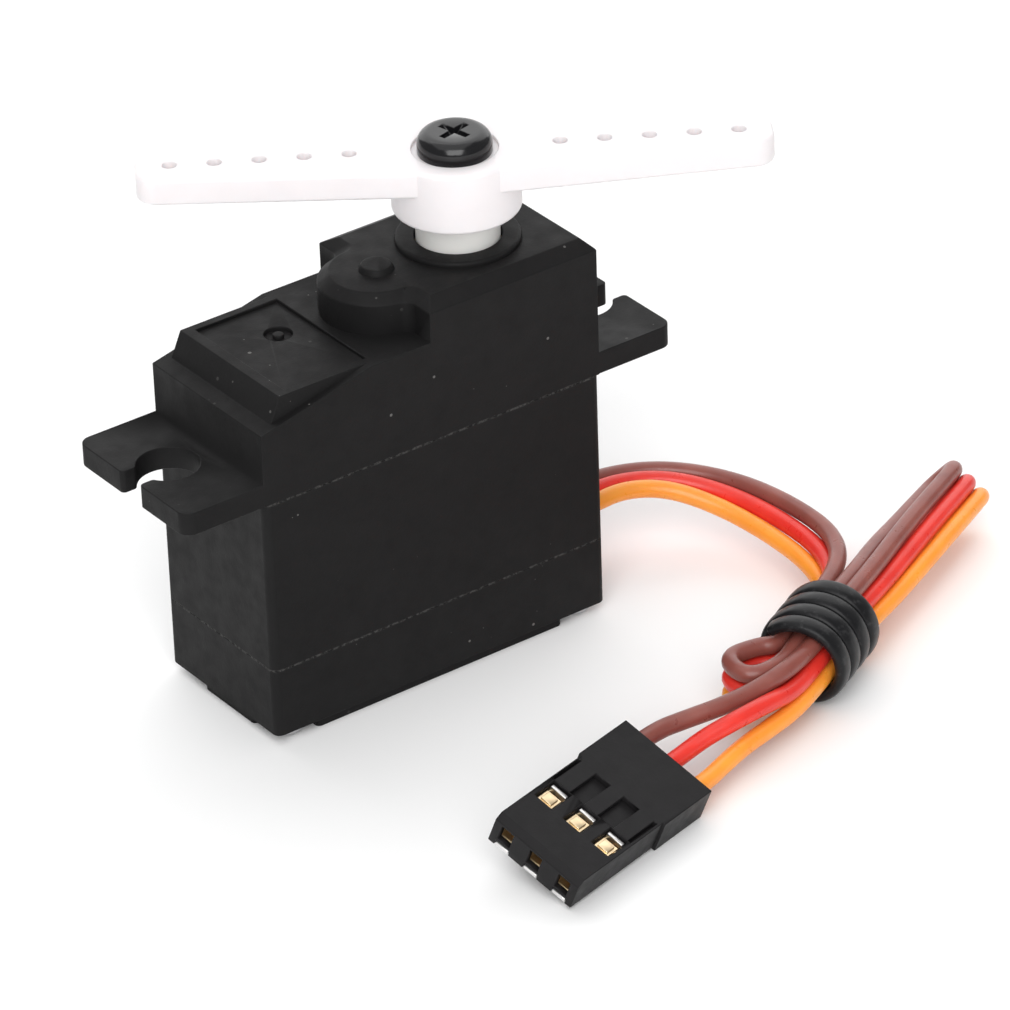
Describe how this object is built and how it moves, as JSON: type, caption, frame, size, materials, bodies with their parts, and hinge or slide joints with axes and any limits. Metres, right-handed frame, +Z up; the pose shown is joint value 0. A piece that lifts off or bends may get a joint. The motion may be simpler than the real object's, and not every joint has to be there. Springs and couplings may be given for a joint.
{
  "type": "servo motor",
  "caption": "Mini servo motor: boxy split case with two slotted lugs, geared output with a straight double-arm horn, and a folded, tied three-wire lead ending in a flat plug.",
  "frame": {"origin": "centre of the bottom cover's underside, where the servo stands", "axes": "+X along the case towards the output end and the lead, +Y across it, +Z up along the output shaft"},
  "size_m": [0.0623, 0.0485, 0.038],
  "materials": {
    "case_plastic": "moulded black nylon, fine satin grain",
    "screw_steel": "zinc-plated steel",
    "gear_nylon": "natural white nylon",
    "horn_nylon": "white nylon, slightly translucent",
    "horn_screw_black": "black oxide steel, glossy",
    "pin_steel": "ground steel",
    "bush_brass": "turned brass",
    "can_nickel": "nickel-plated steel",
    "cap_plastic": "off-white nylon",
    "magnet_ferrite": "sintered ferrite",
    "core_steel": "stacked laminations",
    "copper_wire": "enamelled copper",
    "terminal_tin": "tinned brass",
    "brush_carbon": "carbon",
    "pot_blue": "blue moulded plastic",
    "track_carbon": "carbon film",
    "board_green": "green solder mask",
    "chip_black": "moulded epoxy",
    "capacitor_sleeve": "black sleeve",
    "grommet_rubber": "soft black rubber",
    "solder": "solder",
    "wire_brown": "brown PVC",
    "wire_red": "red PVC",
    "wire_orange": "orange PVC",
    "tie_black": "satin black plastic sleeve over wire",
    "plug_black": "moulded black plastic",
    "contact_gold": "gold-plated bronze"
  },
  "bodies": {
    "case": {"bottom_cover": "case_plastic", "middle_case": "case_plastic", "top_case": "case_plastic", "case_screws": "screw_steel", "idler_pin": "pin_steel", "output_bush": "bush_brass", "motor_can": "can_nickel", "motor_bearing": "bush_brass", "motor_end_cap": "cap_plastic", "motor_magnets": "magnet_ferrite", "motor_terminals": "terminal_tin", "motor_brushes": "brush_carbon", "motor_screws": "screw_steel", "pot_body": "pot_blue", "pot_track": "track_carbon", "pot_terminals": "terminal_tin", "circuit_board": "board_green", "control_chip": "chip_black", "driver_chips": "chip_black", "board_capacitor": "capacitor_sleeve", "board_resistors": "chip_black", "cable_grommet": "grommet_rubber", "lead_joints": "solder", "lead_brown": "wire_brown", "lead_red": "wire_red", "lead_orange": "wire_orange", "lead_tie": "tie_black", "connector_housing": "plug_black", "connector_contacts": "contact_gold"},
    "output": {"output_gear": "gear_nylon", "horn": "horn_nylon", "horn_screw": "horn_screw_black", "pot_shaft": "pin_steel", "pot_wiper": "bush_brass"},
    "gear_3": {"compound_gear_3": "gear_nylon"},
    "gear_2": {"compound_gear_2": "gear_nylon"},
    "gear_1": {"compound_gear_1": "gear_nylon"},
    "rotor": {"armature_core": "core_steel", "motor_windings": "copper_wire", "motor_commutator": "copper_wire", "motor_shaft": "pin_steel", "motor_pinion": "bush_brass"}
  },
  "joints": [
    {"name": "output_turn", "type": "hinge", "parent": "case", "child": "output", "pos_m": [0.00715, 0, 0], "axis": [0, 0, 1], "range_deg": [-90, 90]},
    {"name": "gear_3_turn", "type": "hinge", "parent": "case", "child": "gear_3", "pos_m": [0.00025, 0, 0], "axis": [0, 0, 1], "range_deg": [-255.2, 255.2]},
    {"name": "gear_2_turn", "type": "hinge", "parent": "case", "child": "gear_2", "pos_m": [0.00715, 0, 0], "axis": [0, 0, 1], "range_deg": [-723, 723]},
    {"name": "gear_1_turn", "type": "hinge", "parent": "case", "child": "gear_1", "pos_m": [0.00025, 0, 0], "axis": [0, 0, 1], "range_deg": [-2048, 2048]},
    {"name": "rotor_turn", "type": "hinge", "parent": "case", "child": "rotor", "pos_m": [-0.00613, 0, 0], "axis": [0, 0, 1], "range_deg": [-9555, 9555]}
  ],
  "couplings": [
    {"joint": "gear_3_turn", "follows": "output_turn", "ratio": -2.8333},
    {"joint": "gear_2_turn", "follows": "output_turn", "ratio": 8.0278},
    {"joint": "gear_1_turn", "follows": "output_turn", "ratio": -22.745},
    {"joint": "rotor_turn", "follows": "output_turn", "ratio": 106.15}
  ]
}
